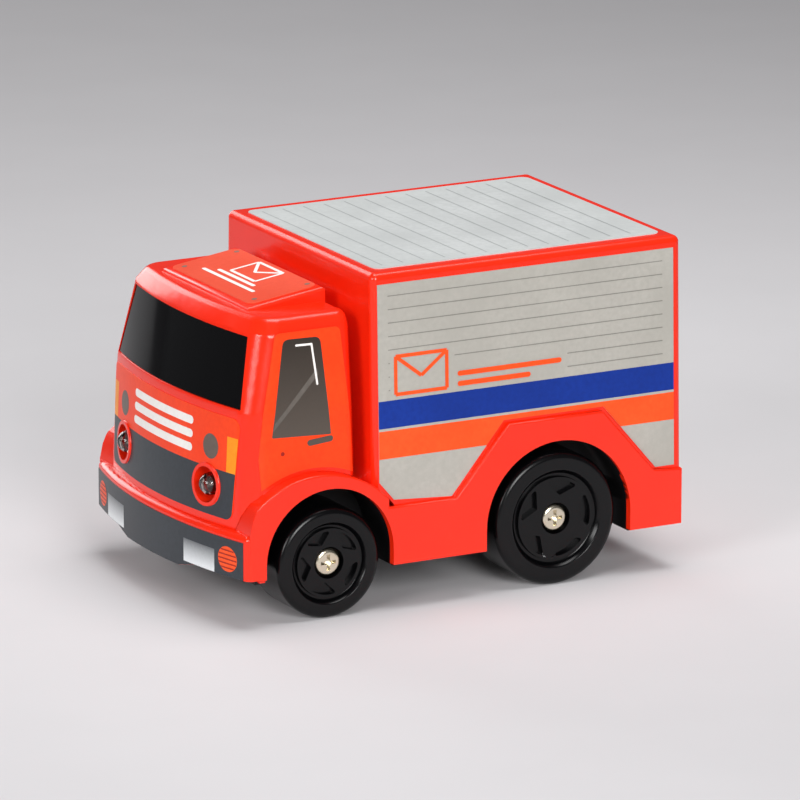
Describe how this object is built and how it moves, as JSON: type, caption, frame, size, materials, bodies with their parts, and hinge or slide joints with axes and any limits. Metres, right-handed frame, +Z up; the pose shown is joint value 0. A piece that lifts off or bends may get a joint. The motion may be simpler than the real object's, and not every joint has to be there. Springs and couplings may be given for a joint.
{
  "type": "toy mail delivery truck",
  "caption": "Small battery-powered toy box truck with cargo box, rounded cab, headlamps, arched wheel wells and free-rolling wheels on a black base.",
  "frame": {"origin": "on the ground under the middle of the truck's overall length and width", "axes": "+X forward, +Y to the truck's left, +Z up"},
  "size_m": [0.1102, 0.0714, 0.0732],
  "materials": {
    "body_red": "gloss",
    "label_film": "satin",
    "screen_black": "gloss",
    "chassis_black": "satin",
    "wheel_black": "satin",
    "part_black": "matte",
    "gear_white": "satin",
    "screw_steel": "satin",
    "wheel_screw_nickel": "satin",
    "axle_steel": "satin",
    "contact_metal": "satin",
    "magnet_grey": "satin",
    "cell_jacket": "gloss",
    "board_green": "satin",
    "led_clear": "gloss",
    "wire_cover": "satin"
  },
  "bodies": {
    "body": {"cargo_box": "body_red", "lower_body": "body_red", "cab_shell": "body_red", "windscreen": "screen_black", "box_label_left": "label_film", "box_label_right": "label_film", "box_label_roof": "label_film", "box_label_rear": "label_film", "grille_label": "label_film", "bumper_label": "label_film", "door_label_left": "label_film", "door_label_right": "label_film", "cab_roof_label": "label_film", "base_plate": "chassis_black", "base_screws": "screw_steel", "battery_left": "cell_jacket", "battery_right": "cell_jacket", "battery_contacts": "contact_metal", "battery_springs": "contact_metal", "main_board": "board_green", "board_chip": "part_black", "board_capacitor": "part_black", "headlamp_led_left": "led_clear", "headlamp_led_right": "led_clear", "lamp_board": "board_green", "lamp_leads": "wire_cover", "motor_leads": "wire_cover", "switch_leads": "wire_cover", "switch_body": "contact_metal", "motor_housing": "contact_metal", "motor_end_cap": "gear_white", "motor_magnets": "magnet_grey", "gear_pins": "screw_steel", "gear_case_inner": "gear_white", "gear_case_cover": "gear_white"},
    "rear_axle_set": {"rear_axle": "axle_steel", "axle_gear": "gear_white", "rear_wheel_left": "wheel_black", "rear_wheel_right": "wheel_black", "rear_wheel_screws": "wheel_screw_nickel"},
    "front_axle_set": {"front_axle": "axle_steel", "front_wheel_left": "wheel_black", "front_wheel_right": "wheel_black", "front_wheel_screws": "wheel_screw_nickel"},
    "second_gear": {"second_compound_gear": "gear_white"},
    "first_gear": {"first_compound_gear": "gear_white"},
    "motor_shaft": {"motor_rotor": "magnet_grey", "motor_pinion": "gear_white"},
    "switch_slider": {"switch_knob": "part_black"},
    "battery_cover": {"battery_door": "chassis_black", "battery_door_screw": "screw_steel"}
  },
  "joints": [
    {"name": "rear_axle_spin", "type": "hinge", "parent": "body", "child": "rear_axle_set", "pos_m": [-0.0243, 0, 0.0146], "axis": [0, 1, 0], "continuous": true},
    {"name": "front_axle_spin", "type": "hinge", "parent": "body", "child": "front_axle_set", "pos_m": [0.0302, 0, 0.01205], "axis": [0, 1, 0], "continuous": true},
    {"name": "second_gear_spin", "type": "hinge", "parent": "body", "child": "second_gear", "pos_m": [-0.02973, 0, 0.01869], "axis": [0, 1, 0], "continuous": true},
    {"name": "first_gear_spin", "type": "hinge", "parent": "body", "child": "first_gear", "pos_m": [-0.03476, 0, 0.02115], "axis": [0, 1, 0], "continuous": true},
    {"name": "motor_spin", "type": "hinge", "parent": "body", "child": "motor_shaft", "pos_m": [-0.0398, 0, 0.0236], "axis": [0, 1, 0], "continuous": true},
    {"name": "switch_slide", "type": "slide", "parent": "body", "child": "switch_slider", "axis": [1, 0, 0], "range_m": [0, 0.002]},
    {"name": "battery_door_lift_off", "type": "slide", "parent": "body", "child": "battery_cover", "axis": [0, 0, -1], "range_m": [0, 0.008]}
  ],
  "couplings": [
    {"joint": "second_gear_spin", "follows": "rear_axle_spin", "ratio": -3.25},
    {"joint": "first_gear_spin", "follows": "rear_axle_spin", "ratio": 8.125},
    {"joint": "motor_spin", "follows": "rear_axle_spin", "ratio": -20.312}
  ]
}
